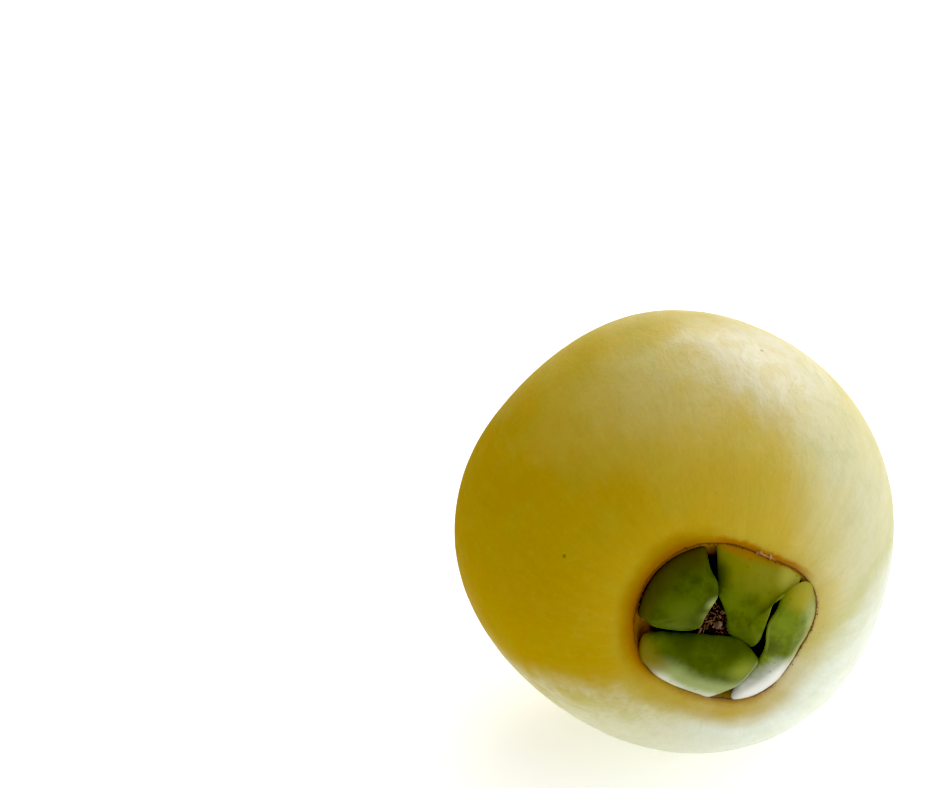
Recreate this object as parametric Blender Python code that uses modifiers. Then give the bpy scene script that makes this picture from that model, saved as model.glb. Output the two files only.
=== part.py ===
# One rose apple as picked, lying on its side: the fleshy fruit, the four incurved
# sepals that stay on its flower end, the dried style between them and the cut stalk
# at the other end. Metres, +Z up. The fruit's own axis lies along Y, flower end
# towards -Y, and the origin is the point of the resting spot below its middle.

import math

import bmesh
import bpy
from mathutils import Vector

# Driving dimensions
FRUIT_RADIUS = 0.02275        # mean radius at the widest girth
FRUIT_HALF_LENGTH = 0.0246    # from the widest girth to either end, before the pits
REST_HEIGHT = 0.0224          # axis above the surface it lies on; sets the flat spot
STALK_LENGTH = 0.0075
STALK_RADIUS = 0.0014
SEPAL_THICKNESS = 0.0011
CALYX_RADIUS = 0.0091         # where the sepals leave the flesh
STYLE_RADIUS = 0.00045
GAP = 0.0003                  # clear space between touching pieces

# The girth is faintly lobed: lobes round the axis, share of the radius, direction
GIRTH_SWELLS = ((2, 0.0048, -128.0), (3, 0.0239, 176.0), (4, 0.0117, 37.5), (5, 0.0063, 134.5))
STEM_TAPER = 0.06             # share of the radius lost towards the stalk
STEM_DIMPLE_DEPTH = 0.0013
STEM_DIMPLE_WIDTH = 0.0036

# The flower end sits in a shallow pit whose axis leans a little off the fruit's
CALYX_CENTRE = Vector((0.00055, -0.0195, -0.0002))
CALYX_AXIS = Vector((-0.121, -0.989, -0.079)).normalized()
END_AXIS = (CALYX_AXIS + Vector((0, -1, 0))).normalized()
END_RISE = 0.0016             # the flattened end stands this far above the sepals' foot
END_SOFTNESS = 0.0012
PIT_FLOOR = -0.0018           # below the plane of the sepals' foot
PIT_INNER = 0.0080
PIT_OUTER = 0.0107

# Each sepal leaves the foot between two directions, in degrees round the calyx axis,
# and curls in to a tip edge. Lengths in millimetres, heights above the foot plane.
SEPALS = {
    "sepal_left": {
        "foot": (101, 177), "aim": 150, "tip": (-2.0, 1.5, 4.0), "half_width": 2.2,
        "round": 0.5, "crown": 0.8, "lean": 0.0, "curl": (2.0, 1.4), "flare": (2.6, 0.0),
    },
    "sepal_upper": {
        "foot": (34, 97), "aim": 62, "tip": (0.6, 0.2, 3.4), "half_width": 1.3,
        "round": 0.2, "crown": 0.3, "lean": 0.0, "curl": (3.0, 1.6), "flare": (-0.6, 2.4),
    },
    "sepal_right": {
        "foot": (-92, 24), "aim": -30, "tip": (4.7, 1.6, 3.4), "half_width": 3.3,
        "round": 0.0, "crown": 0.2, "lean": -1.2, "curl": (1.6, 1.0), "flare": (0.6, 0.6),
    },
    "sepal_lower": {
        "foot": (183, 259), "aim": 247, "tip": (-0.4, -1.1, 3.2), "half_width": 3.7,
        "round": 0.25, "crown": 0.3, "lean": 0.0, "curl": (2.3, 2.1), "flare": (3.4, 0.0),
    },
}
SEPAL_FOOT_RISE = (1.2, 2.8)  # inward and upward pull of a sepal's curve at its foot

FRUIT_SEGMENTS = 60
FRUIT_RINGS = 46
RING_CROWDING = 1.25          # rings crowd towards the flower end, where the pit is
SEPAL_CELLS = 7

MM = 0.001
FRUIT_CENTRE = Vector((0.0, 0.0, REST_HEIGHT))


def clear_scene():
    for obj in list(bpy.data.objects):
        bpy.data.objects.remove(obj, do_unlink=True)


def new_collection(name):
    collection = bpy.data.collections.new(name)
    bpy.context.scene.collection.children.link(collection)
    return collection


def material(name, colour, roughness):
    made = bpy.data.materials.new(name)
    made.use_nodes = True
    shader = made.node_tree.nodes["Principled BSDF"]
    shader.inputs["Base Color"].default_value = (*colour, 1.0)
    shader.inputs["Roughness"].default_value = roughness
    shader.inputs["Metallic"].default_value = 0.0
    made.diffuse_color = (*colour, 1.0)
    return made


def new_object(name, data, collection, finish):
    obj = bpy.data.objects.new(name, data)
    collection.objects.link(obj)
    data.materials.append(finish)
    return obj


def smooth_step(x):
    x = min(max(x, 0.0), 1.0)
    return x * x * (3.0 - 2.0 * x)


def calyx_frame():
    """The two directions across the calyx, right and up, and its axis."""
    right = (Vector((1, 0, 0)) - CALYX_AXIS.x * CALYX_AXIS).normalized()
    return right, CALYX_AXIS.cross(right), CALYX_AXIS


def calyx_to_world(x, y, height):
    right, up, axis = calyx_frame()
    return FRUIT_CENTRE + CALYX_CENTRE + right * x + up * y + axis * height


def fruit_point(polar, around):
    """A point of the skin: polar runs from the flower end to the stalk, around the girth."""
    radius = FRUIT_RADIUS * math.sin(polar)
    along = -FRUIT_HALF_LENGTH * math.cos(polar)
    swell = sum(
        share * math.cos(lobes * around - math.radians(direction))
        for lobes, share, direction in GIRTH_SWELLS
    )
    radius *= 1.0 + swell * math.sin(polar)
    if along > 0:
        radius *= 1.0 - STEM_TAPER * (along / FRUIT_HALF_LENGTH) ** 4
        along -= STEM_DIMPLE_DEPTH * math.exp(-((radius / STEM_DIMPLE_WIDTH) ** 2))
    point = Vector((radius * math.cos(around), along, radius * math.sin(around)))
    if along < 0:
        height = (point - CALYX_CENTRE).dot(END_AXIS)
        flat = -END_SOFTNESS * math.log(
            math.exp(-height / END_SOFTNESS) + math.exp(-END_RISE / END_SOFTNESS)
        )
        point.y += (flat - height) / END_AXIS.y
        across = point - CALYX_CENTRE
        height = across.dot(CALYX_AXIS)
        from_axis = (across - height * CALYX_AXIS).length
        sunk = smooth_step((PIT_OUTER - from_axis) / (PIT_OUTER - PIT_INNER))
        point.y += sunk * (PIT_FLOOR - height) / CALYX_AXIS.y
    return FRUIT_CENTRE + point


def make_fruit(collection, cutters):
    mesh = bpy.data.meshes.new("fruit")
    ball = bmesh.new()
    bmesh.ops.create_uvsphere(ball, u_segments=FRUIT_SEGMENTS, v_segments=FRUIT_RINGS, radius=1.0)
    for vert in ball.verts:
        share = math.acos(max(-1.0, min(1.0, vert.co.z))) / math.pi
        around = math.atan2(vert.co.y, vert.co.x)
        vert.co = fruit_point(math.pi * share ** RING_CROWDING, around)
    ball.to_mesh(mesh)
    ball.free()
    fruit = new_object("fruit", mesh, collection, material("skin", (0.55, 0.40, 0.06), 0.42))

    mesh.shade_smooth()
    rest = bpy.data.meshes.new("rest_cutter")
    block = bmesh.new()
    bmesh.ops.create_cube(block, size=4 * FRUIT_RADIUS)
    bmesh.ops.translate(block, verts=block.verts, vec=(0, 0, -2 * FRUIT_RADIUS))
    block.to_mesh(rest)
    block.free()
    cutter = bpy.data.objects.new("rest_cutter", rest)
    cutters.objects.link(cutter)
    cutter.hide_render = True
    cutter.display_type = "WIRE"
    cut = fruit.modifiers.new("flat_spot", "BOOLEAN")
    cut.operation = "DIFFERENCE"
    cut.solver = "EXACT"
    cut.object = cutter
    return fruit


def direction(degrees):
    angle = math.radians(degrees)
    return Vector((math.cos(angle), math.sin(angle), 0.0))


def sepal_point(shape, across, along):
    """A point of a sepal's outer face in the calyx frame, in metres. across runs from
    -1 to 1 between the two margins, along from 0 at the foot to 1 at the tip edge."""
    first, last = shape["foot"]
    outward = direction((first + last) / 2 + across * (last - first) / 2)
    aim = direction(shape["aim"])
    sideways = direction(shape["aim"] + 90)
    rise_in, rise_up = SEPAL_FOOT_RISE
    curl_out, curl_up = shape["curl"]
    flare = shape["flare"][0 if across < 0 else 1]
    half_width = shape["half_width"]

    foot = outward * (CALYX_RADIUS / MM) + Vector((0, 0, -0.2))
    foot_handle = foot - outward * rise_in + Vector((0, 0, rise_up))
    tip = Vector(shape["tip"])
    tip += sideways * (across * half_width) + aim * (shape["round"] * half_width * across ** 2)
    tip.z += shape["lean"] * across - shape["crown"] * across ** 2
    tip_handle = tip + aim * curl_out + sideways * (flare * across) + Vector((0, 0, curl_up))

    back = 1.0 - along
    point = (
        foot * back ** 3
        + foot_handle * (3 * back ** 2 * along)
        + tip_handle * (3 * back * along ** 2)
        + tip * along ** 3
    )
    return point * MM


def make_sepal(name, shape, collection, finish):
    mesh = bpy.data.meshes.new(name)
    sheet = bmesh.new()
    bmesh.ops.create_grid(sheet, x_segments=SEPAL_CELLS, y_segments=SEPAL_CELLS, size=1.0)
    for vert in sheet.verts:
        place = sepal_point(shape, vert.co.x, (vert.co.y + 1.0) / 2.0)
        vert.co = calyx_to_world(*place)
    sheet.to_mesh(mesh)
    sheet.free()
    sepal = new_object(name, mesh, collection, finish)
    mesh.shade_smooth()
    wall = sepal.modifiers.new("flesh", "SOLIDIFY")
    wall.thickness = SEPAL_THICKNESS
    wall.offset = -1.0
    soft = sepal.modifiers.new("soft", "SUBSURF")
    soft.levels = 1
    soft.render_levels = 1
    return sepal


def make_rod(name, path, depth, collection, finish):
    """A tapering rod along a path of (point, relative radius)."""
    curve = bpy.data.curves.new(name, "CURVE")
    curve.dimensions = "3D"
    curve.bevel_depth = depth
    curve.bevel_resolution = 2
    curve.use_fill_caps = True
    line = curve.splines.new("POLY")
    line.points.add(len(path) - 1)
    for point, (place, radius) in zip(line.points, path):
        point.co = (*place, 1.0)
        point.radius = radius
    return new_object(name, curve, collection, finish)


def make_style(collection):
    """The withered style, rising from the pit floor and leaning between the sepal tips."""
    foot_height = PIT_FLOOR + GAP
    steps = 8
    path = []
    for i in range(steps + 1):
        share = i / steps
        height = foot_height + share * 0.0038
        lean = share ** 1.5
        place = calyx_to_world(-0.0013 * lean, 0.0006 * lean, height)
        path.append((place, 1.25 - 0.6 * math.sin(math.pi * share) + 0.35 * share))
    finish = material("dried_style", (0.07, 0.035, 0.015), 0.85)
    return make_rod("style", path, STYLE_RADIUS, collection, finish)


def make_stalk(collection):
    """The cut stalk, thicker at its foot and at the cut, in the dimple of the stem end."""
    foot = FRUIT_HALF_LENGTH - STEM_DIMPLE_DEPTH + GAP
    steps = 9
    path = []
    for i in range(steps + 1):
        share = i / steps
        bend = 0.0012 * share ** 2
        place = FRUIT_CENTRE + Vector((bend, foot + share * STALK_LENGTH, 0.4 * bend))
        path.append((place, 1.0 + 0.35 * (1 - share) ** 3 + 0.15 * share ** 4))
    finish = material("stalk_bark", (0.16, 0.09, 0.05), 0.75)
    return make_rod("stalk", path, STALK_RADIUS, collection, finish)


def main():
    clear_scene()
    parts = new_collection("rose_apple")
    cutters = new_collection("cutters")
    make_fruit(parts, cutters)
    green = material("sepal_green", (0.07, 0.11, 0.012), 0.45)
    for name, shape in SEPALS.items():
        make_sepal(name, shape, parts, green)
    make_style(parts)
    make_stalk(parts)


main()
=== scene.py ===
import random
from math import asin, atan, cos, e, pi, radians, sin, sqrt

import bmesh
import bpy
from mathutils import Matrix, Vector, noise


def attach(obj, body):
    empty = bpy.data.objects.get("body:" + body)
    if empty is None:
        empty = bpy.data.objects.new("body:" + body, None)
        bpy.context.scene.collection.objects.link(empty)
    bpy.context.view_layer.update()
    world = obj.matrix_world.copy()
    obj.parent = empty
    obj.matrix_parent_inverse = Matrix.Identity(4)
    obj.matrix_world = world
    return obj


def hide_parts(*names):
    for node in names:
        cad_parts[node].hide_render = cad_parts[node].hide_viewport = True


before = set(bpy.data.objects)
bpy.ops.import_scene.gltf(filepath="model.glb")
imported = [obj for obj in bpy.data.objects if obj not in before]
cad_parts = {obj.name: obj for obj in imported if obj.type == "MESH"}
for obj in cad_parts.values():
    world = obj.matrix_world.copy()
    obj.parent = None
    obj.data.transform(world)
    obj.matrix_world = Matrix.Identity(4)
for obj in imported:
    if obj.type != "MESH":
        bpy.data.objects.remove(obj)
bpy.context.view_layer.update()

# A rose apple lying on its side, flower end towards -Y, dressed for a close studio view.
# Metres, +Z up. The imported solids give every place; this file gives the finish.

mm = 0.001
print("frame loaded:", sorted(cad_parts))


# A number in a node tree. Each operator adds a Math node, so a formula reads as one.
class Formula:
    def __init__(self, sheet, socket):
        self.sheet = sheet
        self.socket = socket

    def calc(self, operation, *others):
        node = self.sheet.add("ShaderNodeMath", (self, *others), operation=operation)
        return Formula(self.sheet, node.outputs[0])

    def __neg__(self):
        return self * -1.0

    def __add__(self, other):
        return self.calc("ADD", other)

    def __sub__(self, other):
        return self.calc("SUBTRACT", other)

    def __rsub__(self, other):
        return -self + other

    def __mul__(self, other):
        return self.calc("MULTIPLY", other)

    def __truediv__(self, other):
        return self.calc("DIVIDE", other)

    def __pow__(self, other):
        return self.calc("POWER", other)

    def sin(self):
        return self.calc("SINE")

    def cos(self):
        return self.calc("COSINE")

    def exp(self):
        return self.calc("EXPONENT")

    def most(self, other):
        return self.calc("MAXIMUM", other)

    def smooth(self, start, end):  # 0 at start, 1 at end, eased; start may be the larger
        sockets = {"Value": self, "From Min": start, "From Max": end}
        node = self.sheet.add("ShaderNodeMapRange", sockets, interpolation_type="SMOOTHSTEP")
        return Formula(self.sheet, node.outputs["Result"])

    def clamped(self):
        node = self.sheet.add("ShaderNodeClamp", {"Value": self})
        return Formula(self.sheet, node.outputs["Result"])


def lengthOf(first, *others):
    total = first * first
    for part in others:
        total = total + part * part
    return total.calc("SQRT")


def dot(x, y, z, way):
    return x * way.x + y * way.y + z * way.z


# A node tree being filled, for a shape or for a material
class Sheet:
    def __init__(self, tree):
        self.tree = tree

    def feed(self, socket, given):  # a node stands for its first output
        if isinstance(given, Formula):
            given = given.socket
        if isinstance(given, bpy.types.Node):
            given = given.outputs[0]
        if isinstance(given, bpy.types.NodeSocket):
            self.tree.links.new(given, socket)
        else:
            socket.default_value = given

    def fill(self, node, sockets):
        pairs = sockets.items() if isinstance(sockets, dict) else enumerate(sockets)
        for key, given in pairs:
            self.feed(node.inputs[key], given)

    def add(self, kind, sockets=(), **properties):
        node = self.tree.nodes.new(kind)
        for name, value in properties.items():
            setattr(node, name, value)
        self.fill(node, sockets)
        return node

    def split(self, vector):
        node = self.add("ShaderNodeSeparateXYZ", [vector])
        return [Formula(self, output) for output in node.outputs]

    def join(self, x, y, z):
        return self.add("ShaderNodeCombineXYZ", [x, y, z])

    def noise(self, vector, scale, detail=2.0, roughness=0.5, distortion=0.0):
        sockets = {"Vector": vector, "Scale": scale, "Detail": detail, "Roughness": roughness,
                   "Distortion": distortion}
        return Formula(self, self.add("ShaderNodeTexNoise", sockets).outputs[0])

    def cells(self, vector, scale):  # distance from the nearest middle, and a colour for each
        node = self.add("ShaderNodeTexVoronoi", {"Vector": vector, "Scale": scale})
        return Formula(self, node.outputs["Distance"]), node.outputs["Color"]

    def mix(self, share, first, second, blend="MIX"):
        node = self.add("ShaderNodeMix", data_type="RGBA", blend_type=blend)
        first, second = ((*c, 1.0) if isinstance(c, tuple) else c for c in (first, second))
        self.fill(node, {0: share, 6: first, 7: second})
        return node.outputs[2]

    def coats(self, colour, *coats):  # each coat is a share and a colour over what is there
        for share, over in coats:
            colour = self.mix(share, colour, over)
        return colour

    def ramp(self, share, stops):
        node = self.add("ShaderNodeValToRGB", [share])
        elements = node.color_ramp.elements
        for k, (place, colour) in enumerate(stops):
            element = elements[k] if k < len(elements) else elements.new(place)
            element.position = place
            element.color = (*colour, 1.0)
        return node.outputs["Color"]

    def bump(self, height, distance, strength=1.0):
        sockets = {"Height": height, "Distance": distance, "Strength": strength}
        return self.add("ShaderNodeBump", sockets)


def newObject(name, data):
    obj = bpy.data.objects.new(name, data)
    bpy.context.scene.collection.objects.link(obj)
    return obj


# Geometry Nodes group with an input for each named value; draw(sheet, given) fills it
def shapeTree(name, inputs, draw):
    tree = bpy.data.node_groups.new(name, "GeometryNodeTree")
    tree.interface.new_socket("Geometry", in_out="OUTPUT", socket_type="NodeSocketGeometry")
    for label, value in inputs.items():
        kind = type(value).__name__.capitalize()  # Float, Int, Object or Material
        tree.interface.new_socket(label, in_out="INPUT", socket_type="NodeSocket" + kind)
    sheet = Sheet(tree)
    outputs = sheet.add("NodeGroupInput").outputs
    given = {label: Formula(sheet, outputs[label]) for label in inputs}
    real = sheet.add("GeometryNodeRealizeInstances", [draw(sheet, given)])
    finished = sheet.add("GeometryNodeSetMaterial", {"Geometry": real, "Material": given["finish"]})
    sheet.add("NodeGroupOutput", [finished])
    return tree


# Runs a shape tree on an empty object and keeps the result as a plain mesh
def grown(name, draw, settings, keys, **others):
    inputs = {key: settings[key] for key in keys} | others
    obj = newObject(name, bpy.data.meshes.new(name + "_seed"))
    step = obj.modifiers.new("shape", "NODES")
    step.node_group = shapeTree(name, inputs, draw)
    for item in step.node_group.interface.items_tree:
        if item.in_out == "INPUT":
            step[item.identifier] = inputs[item.name]
    bpy.context.view_layer.update()
    depsgraph = bpy.context.evaluated_depsgraph_get()
    mesh = bpy.data.meshes.new_from_object(obj.evaluated_get(depsgraph))
    obj.modifiers.clear()
    obj.data = mesh
    mesh.name = name
    mesh.shade_smooth()
    return obj


def meshObject(name, build, finish):
    mesh = bpy.data.meshes.new(name)
    build.to_mesh(mesh)
    build.free()
    mesh.materials.append(finish)
    mesh.shade_smooth()
    return newObject(name, mesh)


# Faces between two rings of verts
def bridge(build, lower, upper):
    for k in range(len(lower)):
        m = (k + 1) % len(lower)
        build.faces.new((lower[k], lower[m], upper[m], upper[k]))


# Material, with its sheet, its shader and its Object coordinates
def newMaterial(name):
    made = bpy.data.materials.new(name)
    made.use_nodes = True
    made.node_tree.nodes.clear()
    sheet = Sheet(made.node_tree)
    shader = sheet.add("ShaderNodeBsdfPrincipled")
    sheet.add("ShaderNodeOutputMaterial", {"Surface": shader})
    return made, sheet, shader, sheet.add("ShaderNodeTexCoord").outputs["Object"]


# The whole fruit

body = {
    "radius": 22.75 * mm,
    "halfLength": 24.6 * mm,
    "restHeight": 22.4 * mm,
    "stemTaper": 0.06,
    "dimpleDepth": 1.3 * mm,
    "dimpleWidth": 3.6 * mm,
    "endRise": 1.6 * mm,
    "endSoftness": 1.2 * mm,
    "pitFloor": -0.1 * mm,
    "pitInner": 7.5 * mm,
    "pitOuter": 9.55 * mm,
    "ringRadius": 9.02 * mm,  # of the line where skin meets sepals
    "ringCentre": (-0.51 * mm, 0.91 * mm),
    # waves of the outlines: how many go round, their share of the radius, where one peaks
    "ringWaves": ((2, 0.0314, -75.9), (3, 0.0210, 65.8), (4, 0.0365, 83.7), (5, 0.0122, 46.4)),
    "lobes": ((2, 0.0048, -128.0), (3, 0.0239, 176.0), (4, 0.0117, 37.5), (5, 0.0063, 134.5)),
    "calyxCentre": Vector((0.55, -19.5, -0.2)) * mm,
    "calyxAxis": Vector((-0.121, -0.989, -0.079)).normalized(),
    "segments": 340,
    "rings": 280,
    "crowding": 1.35,  # of the rings, towards the flower end
    "unevenness": 0.10 * mm,
    "unevenScale": 130.0,
    "pleatDepth": 0.10 * mm,
    "pleatScale": 5.0,
    "pleatStretch": 60.0,
    "pleatTop": (13.0 * mm, 9.6 * mm),
    "pleatFoot": (8.2 * mm, 9.3 * mm),
    "crinkle": 0.075 * mm,
    "crinkleScale": 420.0,
}
fruitCentre = Vector((0.0, 0.0, body["restHeight"]))
endAxis = (body["calyxAxis"] + Vector((0, -1, 0))).normalized()
calyxRight = (Vector((1, 0, 0)) - body["calyxAxis"].x * body["calyxAxis"]).normalized()
calyxUp = body["calyxAxis"].cross(calyxRight)


def calyxToWorld(x, y, height):
    offset = calyxRight * x + calyxUp * y + body["calyxAxis"] * height
    return fruitCentre + body["calyxCentre"] + offset


# Right, up and out in the calyx frame, from the middle of the sepals' foot. The x, y and z given
# to this and to the next function count from the fruit's centre.
def calyxPlane(x, y, z):
    origin = body["calyxCentre"]
    offset = x - origin.x, y - origin.y, z - origin.z
    return [dot(*offset, way) for way in (calyxRight, calyxUp, body["calyxAxis"])]


# Distance from the ring's centre, and the cosine and sine of the direction. The ring is wavy,
# and distance is shared out with it.
def ringPlace(x, y, z):
    right, up = calyxPlane(x, y, z)[:2]
    right = right - body["ringCentre"][0]
    up = up - body["ringCentre"][1]
    distance = lengthOf(right, up) + 0.01 * mm
    toRight, toUp = right / distance, up / distance
    return distance / ringScale(toRight, toUp), toRight, toUp


def wavy(angle, waves, level):
    for count, share, peak in waves:
        level = (angle * float(count) - radians(peak)).cos() * share + level
    return level


def ringScale(toRight, toUp):
    return wavy(toUp.calc("ARCTAN2", toRight), body["ringWaves"], 1.0)


# From 0 to 1, how much a direction from the ring's centre points the given way
def facing(toRight, toUp, degrees, start, end):
    aim = radians(degrees)
    return (toRight * cos(aim) + toUp * sin(aim)).smooth(start, end)


def drawFruit(sheet, given):
    ball = sheet.add("GeometryNodeMeshUVSphere",
                     {"Segments": given["segments"], "Rings": given["rings"], "Radius": 1.0})
    named = sheet.add("GeometryNodeStoreNamedAttribute",
                      {"Geometry": ball, "Name": "UVMap", "Value": ball.outputs["UV Map"]},
                      data_type="FLOAT2", domain="CORNER")
    x, y, z = sheet.split(sheet.add("GeometryNodeInputPosition"))
    polar = (z.calc("ARCCOSINE") / pi) ** given["crowding"] * pi
    around = y.calc("ARCTAN2", x)
    swell = wavy(around, body["lobes"], 0.0)
    radius = given["radius"] * polar.sin() * (swell * polar.sin() + 1.0)
    along = -given["halfLength"] * polar.cos()
    back = along.most(0.0) / given["halfLength"]
    radius = radius * (1.0 - given["stemTaper"] * back ** 4.0)
    isBack = along.calc("GREATER_THAN", 0.0)
    dimple = given["dimpleDepth"] * (-(radius / given["dimpleWidth"]) ** 2.0).exp()
    along = along - dimple * isBack

    # the flower end is flattened, then sunk round the calyx
    centre = body["calyxCentre"]
    px, pz = radius * around.cos(), radius * around.sin()
    height = dot(px - centre.x, along - centre.y, pz - centre.z, endAxis)
    soft = given["endSoftness"]
    flat = (-height / soft).exp() + (-given["endRise"] / soft).exp()
    flat = -flat.calc("LOGARITHM", e) * soft
    along = along + (flat - height) / endAxis.y
    distance, toRight, toUp = ringPlace(px, along, pz)
    isFront = 1.0 - isBack
    sunk = distance.smooth(given["pitOuter"], given["pitInner"]) * isFront
    toFloor = given["pitFloor"] - calyxPlane(px, along, pz)[2]
    along = along + sunk * toFloor / body["calyxAxis"].y

    # soft unevenness all over, and shallow pleats where the skin turns into the pit
    place = sheet.join(px, along, pz)
    uneven = sheet.noise(place, given["unevenScale"], 2.0) - 0.5
    ribbed = sheet.join(toRight, toUp, distance * body["pleatStretch"])
    pleat = sheet.noise(ribbed, body["pleatScale"], 2.0) - 0.5
    nearPit = distance.smooth(*body["pleatTop"]) * distance.smooth(*body["pleatFoot"]) * isFront
    raised = uneven * given["unevenness"] * 2.0 + pleat * given["pleatDepth"] * 2.0 * nearPit
    folds = sheet.noise(place, given["crinkleScale"], 3.0, 0.6, 1.0) - 0.5
    cream = paleness(px, along, pz, sheet.noise(place, *skinLook["cloud"]))[0]
    raised = raised + folds * given["crinkle"] * 2.0 * (cream * 0.8 + 0.2) - given["crinkle"]
    grow = raised / lengthOf(px, along, pz) + 1.0
    aboveFloor = (pz * grow + fruitCentre.z).most(0.0)
    moved = sheet.join(px * grow, along * grow, aboveFloor)
    placed = sheet.add("GeometryNodeSetPosition", {"Geometry": named, "Position": moved})
    return sheet.add("GeometryNodeSetShadeSmooth", {"Geometry": placed})


skinLook = {
    "tones": (  # from the golden side to the pale cheek, whose palest tones are partly painted sheen and painted reflection
        (0.00, (0.53, 0.355, 0.024)), (0.30, (0.57, 0.420, 0.058)), (0.50, (0.60, 0.475, 0.130)),
        (0.70, (0.64, 0.570, 0.250)), (0.90, (0.67, 0.650, 0.420)), (1.00, (0.70, 0.705, 0.570)),
    ),
    # deeper gold on the side away from the light: partly the skin's own gold, partly painted shade
    "deepGold": (0.43, 0.265, 0.009),
    "under": (0.71, 0.76, 0.68),  # the whitest place, low on the right: pale skin with painted reflection of the floor
    # the rest of the pale underside, also pale skin with painted reflection of the floor
    "underLeft": (0.58, 0.58, 0.27),
    "underEdge": (0.44, 0.455, 0.13),
    "greenTint": (0.40, 0.40, 0.03),
    # halo: darker gold round the ring, partly a brown tint and partly painted shade where the skin
    # slopes into the pit
    "halo": (0.46, 0.330, 0.030),
    "rust": (0.34, 0.165, 0.005),
    # painted highlight: the colour of the crinkled glare strands
    "strand": (0.78, 0.74, 0.60),
    "stain": (0.35, 0.125, 0.004),
    # brown: the stalk's rusty ring, and painted shade on the left of the calyx ring
    "brown": (0.19, 0.100, 0.003),
    "line": (0.20, 0.080, 0.028),
    "wall": (0.230, 0.135, 0.012),
    "ledge": (0.45, 0.215, 0.012),  # the wall where the lobes stand back from it, on the left
    # painted shade: the floor of the pit deep under the sepals, near black
    "pit": (0.022, 0.018, 0.002),
    "speck": (0.13, 0.065, 0.010),
    "dot": (0.70, 0.58, 0.16),
    "cheekWay": Vector((1.015, 0.307, -0.165)),  # ways in which the skin turns pale, partly pale skin and partly painted sheen and painted reflection
    "crownWay": Vector((0.312, 0.163, 0.389)),
    "belowWay": Vector((0.415, 0.208, -1.081)),
    # painted sheen on the top of the fruit
    "bloomWay": Vector((-0.36, -0.38, 0.85)),
    "dullWay": Vector((0.95, 0.10, 0.45)),  # towards the light, away from the deepest gold, which is partly painted shade
    # ways in which the painted glare strands lie
    "crownStrands": Vector((0.36, -0.16, 0.92)),
    "underStrands": Vector((-0.45, -0.55, -0.70)),
    "cloud": (90.0, 5.0, 0.6),  # scale, detail and roughness of the broad patches
    "roughness": 0.50,
    "smoothing": 0.14,  # how much glossier the pale cheek is
    "specular": 0.0,
    "coat": 0.42,  # on the pale parts only, the gold is matt
    "coatUnder": 0.40,
    "coatOnGold": 0.02,
    "coatRoughness": 0.32,
    "subsurface": 0.10,
    "subsurfaceRadius": (1.0, 0.55, 0.12),
    "subsurfaceScale": 3.0 * mm,
    "relief": 0.11 * mm,
}


# How pale the skin is at a place, partly pale skin and partly painted sheen and painted reflection:
# the cheek on the right, the crown, and the underside of the flower end, which is given on its own as
# well
def paleness(x, y, z, cloud):
    size = lengthOf(x, y, z) + 0.1 * mm
    parts = x / size, y / size, z / size
    patchy = (cloud - 0.5) * 0.35
    cheek = (dot(*parts, skinLook["cheekWay"]) + patchy).smooth(-0.52, 0.44) * 0.88
    crown = (dot(*parts, skinLook["crownWay"]) + patchy * 0.7).smooth(-0.08, 0.89) * 1.45
    back = y.smooth(-15.0 * mm, 5.0 * mm)
    below = dot(*parts, skinLook["belowWay"]) + patchy * (back * 1.6 + 1.2)
    below = below.smooth(back * -0.35 - 0.21, back * 0.85 + 0.40)
    palest = below.most(cheek).most(crown).calc("MINIMUM", 1.0)
    return palest * (1.0 - back * 0.28), below


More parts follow.
